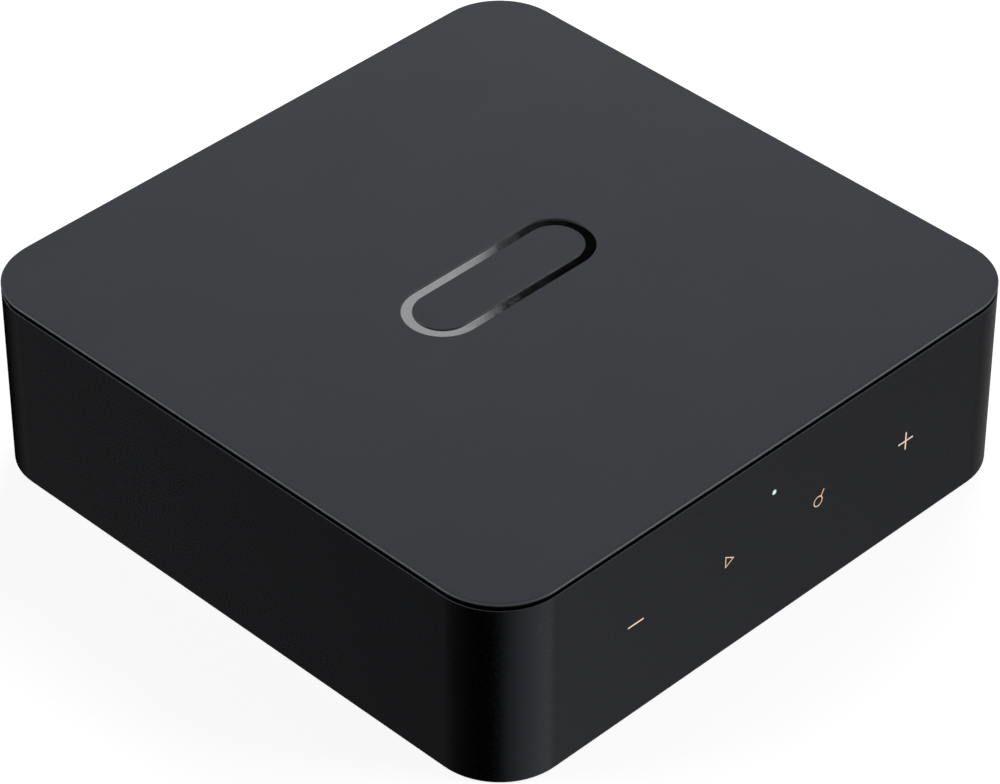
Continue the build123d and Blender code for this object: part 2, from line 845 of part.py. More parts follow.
def network_socket():
    """Square housing with a stepped mouth, in a folded sheet shield."""
    x = sockets["network"]
    back = socket_face - network_depth
    top = board_top + network_height
    inset = network_sheet + seat_gap
    housing = block(
        around(x, network_width - 2 * inset), (back + inset, socket_face), (board_top, top - inset)
    )
    mouth_width, mouth_height, mouth_depth = network_mouth
    depth = (socket_face - mouth_depth, socket_face + overrun)
    floor = board_top + network_mouth_lift
    ceiling = floor + mouth_height
    housing -= block(around(x, mouth_width), depth, (floor, ceiling))
    for width, height in network_latch:
        housing -= block(around(x, width), depth, (floor - height, floor))
        floor -= height
    pipe_width, pipe_height = network_pipe
    pipe_z = board_top + network_pipe_lift
    pipes = []
    for side in (-1, 1):
        pipe_x = x + side * network_pipe_spread / 2
        grown = 2 * seat_gap
        housing -= block(around(pipe_x, pipe_width + grown), depth, around(pipe_z, pipe_height + grown))
        pipes.append(block(around(pipe_x, pipe_width), (depth[0], socket_face), around(pipe_z, pipe_height)))
    shield = block(around(x, network_width), (back, socket_face), (board_top, top))
    shield -= block(
        around(x, network_width - 2 * network_sheet),
        (back + network_sheet, socket_face + overrun),
        (board_top - overrun, top - network_sheet),
    )
    steps = [number - (contact_count - 1) / 2 for number in range(contact_count)]
    return {
        "network_socket_housing": housing,
        "network_socket_shield": shield,
        "network_contacts": group([network_contact(x + step * contact_pitch, ceiling) for step in steps]),
        "network_light_pipes": group(pipes),
    }


def trigger_jack():
    """Block with a round collar and a blind bore, and a leaf spring in a slot on each side."""
    x = sockets["trigger"]
    front = inner_half - fit_gap
    body = block(
        around(x, jack_width), (socket_face - jack_length, front), (board_top, board_top + jack_height)
    )
    body += along_y(jack_collar, x, jack_z, front, socket_face)
    body -= along_y(jack_bore, x, jack_z, socket_face - jack_bore_depth, socket_face + overrun)
    thickness, length, height = jack_leaf
    far = socket_face - jack_leaf_set_back
    leaves = []
    for side in (-1, 1):
        outer = x + side * jack_width / 2
        inner = outer - side * thickness
        body -= block(
            (outer + side * overrun, inner),
            (far - length - seat_gap, far + seat_gap),
            around(jack_z, height + 2 * seat_gap),
        )
        leaves.append(block((outer, inner), (far - length, far), around(jack_z, height)))
    return {"trigger_jack_body": body, "trigger_jack_contacts": group(leaves)}


def optical_housing(x):
    """Block with a shaped port, a cavity for the shutter to swing in and square trunnion pockets."""
    back = socket_face - optical_depth
    housing = block(around(x, optical_width), (back, socket_face), (board_top, optical_top))
    housing -= block((x - cavity_half, x + cavity_half), (cavity_back, frame_back), (cavity_low, cavity_high))
    half, neck = optical_port / 2, optical_port / 2 - optical_port_cut
    corners = [(-half, -half), (half, -half), (half, neck), (neck, half), (-neck, half), (-half, neck)]
    port = extrude(make_face(Polyline(*corners, close=True)), -optical_frame - 2 * overrun)
    housing -= Pos(x, frame_back - overrun, port_middle) * Rot(90, 0, 0) * port
    reach = cavity_half + trunnion_length
    pocket = 2 * (trunnion_radius + seat_gap)
    housing -= block((x - reach, x + reach), around(hinge_y, pocket), around(hinge_z, pocket))
    module_width, module_depth, module_height = optical_module_size
    housing -= block(
        around(x, module_width + 2 * seat_gap),
        (back - overrun, back + module_depth + seat_gap),
        (board_top + seat_gap, board_top + module_height + 2 * seat_gap),
    )
    window = optical_window + 2 * seat_gap
    return housing - block(around(x, window), (back, cavity_back + overrun), around(port_middle, window))


def optical_shutter(x):
    """Flap on a bar with a trunnion at each end, notched at one end for the spring."""
    across = (x - shutter_half, x + shutter_half)
    front = hinge_y + shutter_front
    flap = block(across, (front - shutter_thickness, front), (shutter_low, hinge_z))
    flap += block(across, (hinge_y, front), (hinge_z - shutter_knuckle, hinge_z))
    flap -= block(
        (across[0] - overrun, across[0] + spring_notch_width),
        (hinge_y - overrun, front + overrun),
        (hinge_z - spring_notch_reach, hinge_z + overrun),
    )
    reach = cavity_half + trunnion_length - seat_gap
    return flap + along_x(trunnion_radius, hinge_y, hinge_z, x - reach, x + reach)


def optical_module(x):
    """Emitter or receiver in the back of the socket, with its window boss."""
    depth = optical_module_size[1]
    back = socket_face - optical_depth
    body = standing(optical_module_size, x, back + depth / 2, board_top + seat_gap)
    boss = block(around(x, optical_window), (back + depth, cavity_back), around(port_middle, optical_window))
    return body + boss


def shutter_spring(x):
    """Square wire wound round the bar: a hook on the shutter's notch, turns, and a leg under the roof."""
    turns = []
    for step in range(int(spring_turns * spring_steps) + 1):
        arm = Vector(0, spring_radius, 0).rotate(Axis.X, step * 360 / spring_steps)
        turns.append(arm + Vector(step * spring_pitch / spring_steps, 0, 0))
    hook = turns[0] - Vector(0, 0, spring_hook)
    leg = turns[-1] - Vector(0, spring_leg, 0)
    path = Polyline(hook, *turns, leg)
    section = Plane(origin=path @ 0, z_dir=path % 0) * Rectangle(spring_wire, spring_wire)
    wire = sweep(section, path=path, transition=Transition.RIGHT)
    coil_length = spring_turns * spring_pitch
    start = x - shutter_half + (spring_notch_width - coil_length) / 2
    return Pos(start, hinge_y, hinge_z) * wire


def optical_sockets():
    out_x, in_x = optical_places
    return {
        "optical_out_housing": optical_housing(out_x),
        "optical_out_shutter": optical_shutter(out_x),
        "optical_out_emitter": optical_module(out_x),
        "optical_in_housing": optical_housing(in_x),
        "optical_in_shutter": optical_shutter(in_x),
        "optical_in_receiver": optical_module(in_x),
        "shutter_springs": group([shutter_spring(x) for x in optical_places]),
    }


def phono_insulator(x):
    """Coloured plastic: a flange in the rear wall and a core inside the sleeve."""
    core = phono_sleeve - phono_sleeve_wall - seat_gap
    core_end = phono_end - phono_core_set_back
    body = along_y(phono_flange, x, phono_z, phono_root, flange_end)
    body += sided_along_y(core, phono_core_sides, x, phono_z, flange_end, core_end)
    through = (phono_root - overrun, core_end + overrun)
    return body - sided_along_y(phono_hole, phono_core_sides, x, phono_z, *through)


def phono_sleeve_tube(x):
    """Metal sleeve that seats on the insulator's flange."""
    inner = phono_sleeve - phono_sleeve_wall
    points = [(inner, flange_end), (phono_sleeve, flange_end), (phono_sleeve, phono_end), (inner, phono_end)]
    return turned(points, x, phono_z)


def phono_contact(x):
    """Tube that grips the plug's pin, flat-sided where the insulator hides it."""
    outer = phono_contact_bore + phono_contact_wall
    tip = phono_end - phono_contact_set_back
    tube = sided_along_y(outer, phono_core_sides, x, phono_z, phono_root, tip)
    return tube - along_y(phono_contact_bore, x, phono_z, phono_root - overrun, tip + overrun)


def phono_block(x, width):
    """Black block on the board behind one socket or a pair."""
    along = (phono_root - phono_block_depth, phono_root)
    return block(around(x, width), along, (board_top, board_top + phono_block_height))


def phono_sockets():
    return {
        "coax_out_block": phono_block(sockets["coax_out"], phono_width),
        "line_out_block": phono_block(sockets["line_out"], phono_pitch + phono_width),
        "line_in_block": phono_block(sockets["line_in"], phono_pitch + phono_width),
        "phono_sleeves": group([phono_sleeve_tube(x) for x in phono_places]),
        "phono_centre_contacts": group([phono_contact(x) for x in phono_places]),
        "coax_out_insulator": phono_insulator(sockets["coax_out"]),
        "left_channel_insulators": group([phono_insulator(x) for x in left_places]),
        "right_channel_insulators": group([phono_insulator(x) for x in right_places]),
    }


def whole_player():
    """Every piece under its node name."""
    parts = {}
    for make in (
        box_parts,
        processor_stack,
        radio_parts,
        board_components,
        touch_assembly,
        ribbon_parts,
        power_socket,
        network_socket,
        trigger_jack,
        optical_sockets,
        phono_sockets,
    ):
        parts.update(make())
    return parts


os.makedirs("parts", exist_ok=True)
for node, shape in whole_player().items():
    export_step(shape, os.path.join("parts", node + ".step"))
print("sockets along X:", {name: round(x, 2) for name, x in sockets.items()})
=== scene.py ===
import bmesh
import bpy
import json
import math
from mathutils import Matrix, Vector


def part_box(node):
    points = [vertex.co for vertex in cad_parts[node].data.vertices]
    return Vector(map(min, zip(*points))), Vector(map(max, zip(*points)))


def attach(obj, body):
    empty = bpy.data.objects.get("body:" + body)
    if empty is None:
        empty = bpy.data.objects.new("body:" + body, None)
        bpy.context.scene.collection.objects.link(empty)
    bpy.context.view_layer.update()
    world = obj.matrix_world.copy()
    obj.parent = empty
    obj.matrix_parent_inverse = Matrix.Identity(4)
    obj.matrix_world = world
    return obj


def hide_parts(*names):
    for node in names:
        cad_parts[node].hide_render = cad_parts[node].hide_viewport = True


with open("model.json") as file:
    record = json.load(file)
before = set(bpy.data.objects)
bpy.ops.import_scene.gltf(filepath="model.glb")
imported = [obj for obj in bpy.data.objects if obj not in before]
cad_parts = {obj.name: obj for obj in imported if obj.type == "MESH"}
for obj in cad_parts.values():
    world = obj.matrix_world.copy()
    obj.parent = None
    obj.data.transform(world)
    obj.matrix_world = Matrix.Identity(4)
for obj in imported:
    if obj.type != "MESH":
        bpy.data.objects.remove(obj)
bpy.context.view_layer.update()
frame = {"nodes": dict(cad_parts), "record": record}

nodes = frame["nodes"]
mm = 0.001
print("loaded", len(nodes), "nodes")


def addObject(name, data):
    made = bpy.data.objects.new(name, data)
    bpy.context.scene.collection.objects.link(made)
    return made


# Small helpers for shader trees

texture = {"reliefStrength": 0.6, "fineDetail": 2.0, "cloudDetail": 3.0, "darkAt": 0.3, "lightAt": 0.7}


def newTree(name):
    material = bpy.data.materials.new(name)
    material.use_nodes = True
    tree = material.node_tree
    shader = tree.nodes["Principled BSDF"]
    return material, tree, shader


def objectNoise(tree, scale, detail=texture["cloudDetail"], stretch=None):
    # Noise in object coordinates, scale in cells per metre
    coords = tree.nodes.new("ShaderNodeTexCoord")
    noise = tree.nodes.new("ShaderNodeTexNoise")
    noise.inputs["Scale"].default_value = scale
    noise.inputs["Detail"].default_value = detail
    if stretch:
        mapping = tree.nodes.new("ShaderNodeMapping")
        mapping.inputs["Scale"].default_value = stretch
        tree.links.new(coords.outputs["Object"], mapping.inputs["Vector"])
        tree.links.new(mapping.outputs["Vector"], noise.inputs["Vector"])
    else:
        tree.links.new(coords.outputs["Object"], noise.inputs["Vector"])
    return noise


def spread(tree, source, low, high, fromLow=0.35, fromHigh=0.65):
    # Maps the source's middle range, or the given one, to low and high
    node = tree.nodes.new("ShaderNodeMapRange")
    node.inputs["From Min"].default_value = fromLow
    node.inputs["From Max"].default_value = fromHigh
    node.inputs["To Min"].default_value = low
    node.inputs["To Max"].default_value = high
    tree.links.new(source, node.inputs["Value"])
    return node.outputs["Result"]


def shades(tree, source, dark, light):
    # Two colours that blend over the source's middle range
    ramp = tree.nodes.new("ShaderNodeValToRGB")
    places = (texture["darkAt"], texture["lightAt"])
    for stop, position, colour in zip(ramp.color_ramp.elements, places, (dark, light)):
        stop.position = position
        stop.color = (*colour, 1)
    tree.links.new(source, ramp.inputs["Fac"])
    return ramp.outputs["Color"]


def feed(tree, socket, value):
    # A number is typed into the socket, another socket is linked to it
    if isinstance(value, (int, float)):
        socket.default_value = value
    else:
        tree.links.new(value, socket)


def mathNode(tree, operation, *values):
    node = tree.nodes.new("ShaderNodeMath")
    node.operation = operation
    for socket, value in zip(node.inputs, values):
        feed(tree, socket, value)
    return node.outputs[0]


def mixSockets(mix, kind):
    # A Mix node has one set of sockets for each kind of value
    names = {"RGBA": ("Factor_Float", "A_Color", "B_Color", "Result_Color"),
             "FLOAT": ("Factor_Float", "A_Float", "B_Float", "Result_Float")}[kind]
    found = {socket.identifier: socket for socket in list(mix.inputs) + list(mix.outputs)}
    return [found[name] for name in names]


def blendValue(tree, share, first, second):
    # first where share is 0, second where it is 1
    mix = tree.nodes.new("ShaderNodeMix")
    mix.data_type = "FLOAT"
    *sockets, result = mixSockets(mix, "FLOAT")
    for socket, value in zip(sockets, (share, first, second)):
        feed(tree, socket, value)
    return result


def surface(name, colour, rough, cloud=120.0, contrast=0.1, grain=2500.0, relief=0.004, metal=0.0,
            level=0.5, stretch=None, spreadRough=0.06, tint=(1, 1, 1)):
    # One moulded, cast or rolled finish: cloudy colour, uneven gloss and a fine relief (in mm)
    material, tree, shader = newTree(name)
    clouds = objectNoise(tree, cloud)
    dark = [value * (1 - contrast) for value in colour]
    light = [value * (1 + contrast) for value in colour]
    tree.links.new(shades(tree, clouds.outputs["Fac"], dark, light), shader.inputs["Base Color"])
    fine = objectNoise(tree, grain, texture["fineDetail"], stretch)
    uneven = spread(tree, fine.outputs["Fac"], rough - spreadRough, rough + spreadRough)
    tree.links.new(uneven, shader.inputs["Roughness"])
    bump = tree.nodes.new("ShaderNodeBump")
    bump.inputs["Strength"].default_value = texture["reliefStrength"]
    bump.inputs["Distance"].default_value = relief * mm
    tree.links.new(fine.outputs["Fac"], bump.inputs["Height"])
    tree.links.new(bump.outputs["Normal"], shader.inputs["Normal"])
    shader.inputs["Metallic"].default_value = metal
    shader.inputs["Specular IOR Level"].default_value = level
    shader.inputs["Specular Tint"].default_value = (*tint, 1)
    return material


# What the player is seen in: charcoal top, satin walls, dark mirror ring

# The edge colour is a painted highlight, lighter than the faces, on the sloping edges; the edge roughness is
# their own gloss
top = {"colour": (0.030, 0.032, 0.0372), "rough": 0.5, "level": 0.3, "grain": 3200.0, "relief": 0.012,
       "edgeHighlightColour": (0.052, 0.055, 0.062), "edgeRough": 0.36}
walls = {"colour": (0.0016, 0.0017, 0.0020), "rough": 0.27, "level": 0.5, "grain": 1800.0, "relief": 0.0015,
         "tint": (0.80, 0.84, 1.0), "edgeHighlightColour": (0.0018, 0.0019, 0.0022), "edgeRough": 0.62}
ring = {"colour": (0.50, 0.51, 0.52), "rough": 0.055, "metal": 1.0, "grain": 900.0, "relief": 0.0001}
# Upward part of the normal over which the painted highlight of the sloping edges comes in, and goes out again
sloping = {"fromSide": (0.35, 0.5), "fromTop": (0.85, 0.95)}


def paintEdgeHighlight(material, colour, rough):
    # The narrow sloping edges get a lighter colour, which is a painted highlight, and a gloss of their own
    tree = material.node_tree
    shader = tree.nodes["Principled BSDF"]
    coords = tree.nodes.new("ShaderNodeTexCoord")
    split = tree.nodes.new("ShaderNodeSeparateXYZ")
    tree.links.new(coords.outputs["Normal"], split.inputs[0])
    rising = spread(tree, split.outputs["Z"], 0.0, 1.0, *sloping["fromSide"])
    level = spread(tree, split.outputs["Z"], 1.0, 0.0, *sloping["fromTop"])
    mask = mathNode(tree, "MULTIPLY", rising, level)
    # Where the normal slopes, the base colour turns to the lighter edge colour, a painted highlight
    for name, kind, value in (("Base Color", "RGBA", (*colour, 1)), ("Roughness", "FLOAT", rough)):
        socket = shader.inputs[name]
        mix = tree.nodes.new("ShaderNodeMix")
        mix.data_type = kind
        share, first, second, result = mixSockets(mix, kind)
        tree.links.new(mask, share)
        tree.links.new(socket.links[0].from_socket, first)
        second.default_value = value
        tree.links.new(result, socket)
    return material


finishes = {
    "plate_charcoal": paintEdgeHighlight(
        surface("plateCharcoal", top["colour"], top["rough"], cloud=60, contrast=0.03, grain=top["grain"],
                relief=top["relief"], level=top["level"]),
        top["edgeHighlightColour"], top["edgeRough"]),
    "shell_black": paintEdgeHighlight(
        surface("shellBlack", walls["colour"], walls["rough"], cloud=50, contrast=0.05, grain=walls["grain"],
                relief=walls["relief"], level=walls["level"], tint=walls["tint"]),
        walls["edgeHighlightColour"], walls["edgeRough"]),
    "trim_mirror": surface("trimMirror", ring["colour"], ring["rough"], contrast=0.02, grain=ring["grain"],
                           relief=ring["relief"], metal=ring["metal"], spreadRough=0.01),
    "base_black": surface("baseBlack", (0.024, 0.024, 0.025), 0.6, grain=1500, relief=0.02, level=0.3),
    "pad_rubber": surface("padRubber", (0.042, 0.042, 0.041), 0.8, grain=1200, relief=0.03, level=0.2),
    "screw_steel": surface("screwSteel", (0.5, 0.5, 0.52), 0.35, metal=1.0, grain=700, relief=0.004),
    "ballast_steel": surface("ballastSteel", (0.45, 0.45, 0.46), 0.45, metal=1.0, grain=900, relief=0.004,
                             stretch=(1.0, 0.05, 1.0)),
    "chip_epoxy": surface("chipEpoxy", (0.018, 0.018, 0.019), 0.55, grain=4000, relief=0.006),
    "shield_tin": surface("shieldTin", (0.62, 0.61, 0.58), 0.35, metal=1.0, grain=1200, relief=0.003),
    "heat_sink_black": surface("heatSinkBlack", (0.04, 0.04, 0.045), 0.5, metal=0.6, grain=1500,
                               relief=0.006),
    "thermal_silicone": surface("thermalSilicone", (0.32, 0.42, 0.58), 0.8, grain=1500, relief=0.01),
    "antenna_film": surface("antennaFilm", (0.30, 0.15, 0.05), 0.4, grain=1500, relief=0.004),
    "cable_black": surface("cableBlack", (0.015, 0.015, 0.015), 0.45, grain=3000, relief=0.003),
    "plug_gold": surface("plugGold", (0.85, 0.62, 0.28), 0.25, metal=1.0, grain=2000, relief=0.002),
    "capacitor_can": surface("capacitorCan", (0.6, 0.6, 0.62), 0.3, metal=1.0, grain=1500, relief=0.002),
    "capacitor_film": surface("capacitorFilm", (0.5, 0.33, 0.08), 0.5, grain=2500, relief=0.004),
    "ferrite": surface("ferrite", (0.07, 0.07, 0.075), 0.7, grain=3500, relief=0.012),
    "crystal_can": surface("crystalCan", (0.65, 0.65, 0.62), 0.28, metal=1.0, grain=1500, relief=0.002),
    "copper_pad": surface("copperPad", (0.72, 0.34, 0.2), 0.3, metal=1.0, grain=1500, relief=0.002),
    "led_ceramic": surface("ledCeramic", (0.8, 0.76, 0.5), 0.4, grain=3000, relief=0.002),
    "ribbon_white": surface("ribbonWhite", (0.78, 0.78, 0.75), 0.45, grain=2000, relief=0.003),
    "connector_ivory": surface("connectorIvory", (0.72, 0.68, 0.55), 0.5, grain=2500, relief=0.004),
    "nickel": surface("nickel", (0.6, 0.58, 0.55), 0.28, metal=1.0, grain=1500, relief=0.002),
    "connector_black": surface("connectorBlack", (0.014, 0.014, 0.015), 0.5, grain=2500, relief=0.006),
    "contact_gold": surface("contactGold", (0.9, 0.66, 0.3), 0.18, metal=1.0, grain=1500, relief=0.001),
    "shutter_grey": surface("shutterGrey", (0.035, 0.035, 0.038), 0.5, grain=2500, relief=0.006),
    "module_epoxy": surface("moduleEpoxy", (0.02, 0.018, 0.03), 0.2, grain=2500, relief=0.001),
    "spring_steel": surface("springSteel", (0.55, 0.55, 0.55), 0.25, metal=1.0, grain=2500, relief=0.001),
    "insulator_white": surface("insulatorWhite", (0.8, 0.8, 0.77), 0.35, grain=2000, relief=0.002),
    "insulator_red": surface("insulatorRed", (0.5, 0.015, 0.015), 0.35, grain=2000, relief=0.002),
    "insulator_orange": surface("insulatorOrange", (0.75, 0.16, 0.01), 0.35, grain=2000, relief=0.002),
    "light_pipe_clear": surface("lightPipeClear", (0.75, 0.8, 0.82), 0.12, grain=1500, relief=0.001),
}


# Board laminate, solder mask with faint tracks showing through it

board = {"mask": (0.006, 0.012, 0.009), "tracks": (0.012, 0.03, 0.02), "trackScale": 160.0, "grain": 2500.0,
         "rough": (0.25, 0.4), "coat": 0.3}


def boardLaminate():
    material, tree, shader = newTree("boardLaminate")
    coords = tree.nodes.new("ShaderNodeTexCoord")
    tracks = tree.nodes.new("ShaderNodeTexVoronoi")
    tracks.distance = "MANHATTAN"
    tracks.inputs["Scale"].default_value = board["trackScale"]
    tree.links.new(coords.outputs["Object"], tracks.inputs["Vector"])
    laminate = shades(tree, tracks.outputs["Distance"], board["mask"], board["tracks"])
    tree.links.new(laminate, shader.inputs["Base Color"])
    fine = objectNoise(tree, board["grain"])
    tree.links.new(spread(tree, fine.outputs["Fac"], *board["rough"]), shader.inputs["Roughness"])
    shader.inputs["Coat Weight"].default_value = board["coat"]
    return material


# Lights of the front wall: the tip of the status pipe, lit from behind by its lamp, and the printed marks,
# whose glow is painted highlight

statusLight = {"colour": (0.94, 1.0, 0.97), "rim": (0.58, 0.74, 0.73), "strength": 1.1, "grain": 900.0,
               "rough": 0.15, "faint": 0.08, "core": (0.22, 0.48)}
# The printed copper marks are no lamp: their glow stands in for their highlights and is painted highlight
markHighlightPaint = {"colour": (1.0, 0.83, 0.66), "rim": (0.88, 0.60, 0.42), "strength": 0.60, "grain": 900.0,
             "rough": 0.15}


def glowing(name, light):
    # An uneven glow between the colour and the rim's colour
    material, tree, shader = newTree(name)
    fine = objectNoise(tree, light["grain"])
    glow = shades(tree, fine.outputs["Fac"], light["rim"], light["colour"])
    tree.links.new(glow, shader.inputs["Emission Color"])
    shader.inputs["Base Color"].default_value = (*light["rim"], 1)
    shader.inputs["Emission Strength"].default_value = light["strength"]
    shader.inputs["Roughness"].default_value = light["rough"]
    return material


def corePool(material, node, light):
    # The light stands in the middle of the pipe's tip and fades between the core's two radii (mm)
    low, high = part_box(node)
    inner, outer = light["core"]
    tree = material.node_tree
    coords = tree.nodes.new("ShaderNodeTexCoord")
    flat = tree.nodes.new("ShaderNodeVectorMath")
    flat.operation = "MULTIPLY"
    flat.inputs[1].default_value = (1, 0, 1)
    tree.links.new(coords.outputs["Object"], flat.inputs[0])
    away = tree.nodes.new("ShaderNodeVectorMath")
    away.operation = "DISTANCE"
    away.inputs[1].default_value = ((low.x + high.x) / 2, 0, (low.z + high.z) / 2)
    tree.links.new(flat.outputs[0], away.inputs[0])
    pool = spread(tree, away.outputs["Value"], light["strength"], light["faint"], inner * mm, outer * mm)
    tree.links.new(pool, tree.nodes["Principled BSDF"].inputs["Emission Strength"])


finishes["board_laminate"] = boardLaminate()
statusGlow = glowing("statusGlow", statusLight)
corePool(statusGlow, "status_light_pipe", statusLight)
markGlow = glowing("markGlow", markHighlightPaint)

slotOf = {part["node"]: part["material_slot"] for part in frame["record"]["subparts"]}
for name, piece in nodes.items():
    finish = statusGlow if name == "status_light_pipe" else finishes[slotOf[name]]
    piece.data.materials.clear()
    piece.data.materials.append(finish)
print("finished", len(finishes), "materials")


# Curved CAD pieces that show get a copy with soft shading and the same shape

softening = {"weld": 0.002, "flatAngle": 0.5, "brokenAngle": 70, "normalWeight": 100}
showing = {  # piece name, angle from which an edge stays sharp, width of a broken edge in mm
    "top_plate": ("topPlate", 50, 0.1),
    "housing_shell": ("housingShell", 50),
    "top_inlay": ("topRing", 40),
    "base_cover": ("baseCover", 40),
    "foot_pad": ("footPad", 40),
    "phono_centre_contacts": ("phonoContacts", 40),
    "left_channel_insulators": ("leftInsulators", 40),
    "right_channel_insulators": ("rightInsulators", 40),
    "coax_out_insulator": ("coaxInsulator", 40),
    "power_socket_shell": ("powerSocketShell", 40),
    "trigger_jack_body": ("triggerJackBody", 40),
    "status_light_pipe": ("statusLightPipe", 40),
    "electrolytic_capacitors": ("capacitorCans", 40),
}


def softCopy(node, pieceName, sharpAngle, brokenEdge=0.0):
    mesh = nodes[node].data.copy()
    work = bmesh.new()
    work.from_mesh(mesh)
    bmesh.ops.remove_doubles(work, verts=work.verts, dist=softening["weld"] * mm)
    # Flat walls become single faces, so that slivers round the openings don't bend their shading
    flat = math.radians(softening["flatAngle"])
    bmesh.ops.dissolve_limit(work, angle_limit=flat, verts=work.verts, edges=work.edges)
    for face in work.faces:
        face.smooth = True
    work.to_mesh(mesh)
    work.free()
    mesh.name = pieceName
    piece = addObject(pieceName, mesh)
    mesh.set_sharp_from_angle(angle=math.radians(sharpAngle))
    if brokenEdge:
        broken = piece.modifiers.new("broken edge", "BEVEL")
        broken.width = brokenEdge * mm
        broken.limit_method = "ANGLE"
        broken.angle_limit = math.radians(softening["brokenAngle"])
        broken.use_clamp_overlap = True
    weighted = piece.modifiers.new("weighted", "WEIGHTED_NORMAL")
    weighted.keep_sharp = True
    weighted.weight = softening["normalWeight"]
    bake(piece)
    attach(piece, "player")
    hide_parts(node)


def bake(piece):
    # The evaluated result becomes the piece's own mesh
    bpy.context.view_layer.update()
    graph = bpy.context.evaluated_depsgraph_get()
    ready = piece.evaluated_get(graph)
    mesh = bpy.data.meshes.new_from_object(ready, preserve_all_data_layers=True, depsgraph=graph)
    piece.modifiers.clear()
    piece.data = mesh
    mesh.name = piece.name


for node, settings in showing.items():
    softCopy(node, *settings)
print("softened", len(showing), "pieces")


# Pieces that repeat: each geometry tree puts copies of one part at points and gives them their finish

repeating = {"sharpAngle": 40}


def emptyTree(name, inputs):
    tree = bpy.data.node_groups.new(name, "GeometryNodeTree")
    tree.interface.new_socket("Geometry", in_out="INPUT", socket_type="NodeSocketGeometry")
    for label, kind in inputs:
        tree.interface.new_socket(label, in_out="INPUT", socket_type="NodeSocket" + kind)
    tree.interface.new_socket("Geometry", in_out="OUTPUT", socket_type="NodeSocketGeometry")
    return tree, tree.nodes.new("NodeGroupInput"), tree.nodes.new("NodeGroupOutput")


def placeInTree(tree, given, taken, part, turn):
    # Copies on the points, made real and given the material
    copies = tree.nodes.new("GeometryNodeInstanceOnPoints")
    real = tree.nodes.new("GeometryNodeRealizeInstances")
    finish = tree.nodes.new("GeometryNodeSetMaterial")
    tree.links.new(given.outputs["Geometry"], copies.inputs["Points"])
    tree.links.new(part, copies.inputs["Instance"])
    tree.links.new(turn, copies.inputs["Rotation"])
    tree.links.new(copies.outputs[0], real.inputs[0])
    tree.links.new(real.outputs[0], finish.inputs["Geometry"])
    tree.links.new(given.outputs["Material"], finish.inputs["Material"])
    tree.links.new(finish.outputs[0], taken.inputs["Geometry"])


def grow(pieceName, tree, points, values):
    # A mesh of loose points runs through the tree and comes out as a plain mesh
    mesh = bpy.data.meshes.new(pieceName)
    mesh.from_pydata([tuple(point) for point in points], [], [])
    piece = addObject(pieceName, mesh)
    modifier = piece.modifiers.new(pieceName, "NODES")
    modifier.node_group = tree
    for item in tree.interface.items_tree:
        if item.in_out == "INPUT" and item.name in values:
            modifier[item.identifier] = values[item.name]
    bake(piece)
    for face in piece.data.polygons:
        face.use_smooth = True
    piece.data.set_sharp_from_angle(angle=math.radians(repeating["sharpAngle"]))
    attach(piece, "player")
    return piece


def middles(node):
    # Middle of each loose solid in a CAD node
    work = bmesh.new()
    work.from_mesh(nodes[node].data)
    bmesh.ops.remove_doubles(work, verts=work.verts, dist=softening["weld"] * mm)
    left, found = set(work.verts), []
    while left:
        stack, island = [left.pop()], []
        while stack:
            vert = stack.pop()
            island.append(vert.co.copy())
            for edge in vert.link_edges:
                other = edge.other_vert(vert)
                if other in left:
                    left.remove(other)
                    stack.append(other)
        low = [min(co[axis] for co in island) for axis in range(3)]
        high = [max(co[axis] for co in island) for axis in range(3)]
        found.append(Vector([(a + b) / 2 for a, b in zip(low, high)]))
    work.free()
    return sorted(found, key=lambda place: (place.x, place.y, place.z))


# Phono sleeves, tubes with a rolled lip

sleeves = {"radius": 4.15, "wall": 0.5, "length": 8.0, "lip": 0.2, "lipSteps": 4, "sides": 48}


def phonoSleeves():
    inputs = [("Radius", "Float"), ("Wall", "Float"), ("Length", "Float"), ("Lip", "Float"), ("Sides", "Int"),
              ("Material", "Material")]
    tree, given, taken = emptyTree("phonoSleeves", inputs)
    section = tree.nodes.new("GeometryNodeCurvePrimitiveQuadrilateral")
    rounded = tree.nodes.new("GeometryNodeFilletCurve")
    rounded.mode = "POLY"
    rounded.inputs["Count"].default_value = sleeves["lipSteps"]
    circle = tree.nodes.new("GeometryNodeCurvePrimitiveCircle")
    half = tree.nodes.new("ShaderNodeMath")
    half.operation = "MULTIPLY_ADD"
    half.inputs[1].default_value = -0.5
    tube = tree.nodes.new("GeometryNodeCurveToMesh")
    turn = tree.nodes.new("FunctionNodeInputRotation")
    turn.rotation_euler = (math.pi / 2, 0, 0)
    tree.links.new(given.outputs["Wall"], section.inputs["Width"])
    tree.links.new(given.outputs["Length"], section.inputs["Height"])
    tree.links.new(section.outputs[0], rounded.inputs["Curve"])
    tree.links.new(given.outputs["Lip"], rounded.inputs["Radius"])
    tree.links.new(given.outputs["Wall"], half.inputs[0])
    tree.links.new(given.outputs["Radius"], half.inputs[2])
    tree.links.new(half.outputs[0], circle.inputs["Radius"])
    tree.links.new(given.outputs["Sides"], circle.inputs["Resolution"])
    tree.links.new(circle.outputs[0], tube.inputs["Curve"])
    tree.links.new(rounded.outputs[0], tube.inputs["Profile Curve"])
    placeInTree(tree, given, taken, tube.outputs[0], turn.outputs[0])
    values = {
        "Radius": sleeves["radius"] * mm, "Wall": sleeves["wall"] * mm, "Length": sleeves["length"] * mm,
        "Lip": sleeves["lip"] * mm, "Sides": sleeves["sides"],
        "Material": finishes[slotOf["phono_sleeves"]],
    }
    piece = grow("phonoSleeves", tree, middles("phono_sleeves"), values)
    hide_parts("phono_sleeves")


phonoSleeves()
print("turned the phono sleeves")


# Housing screws, pan heads with a cross recess, and a rolled thread

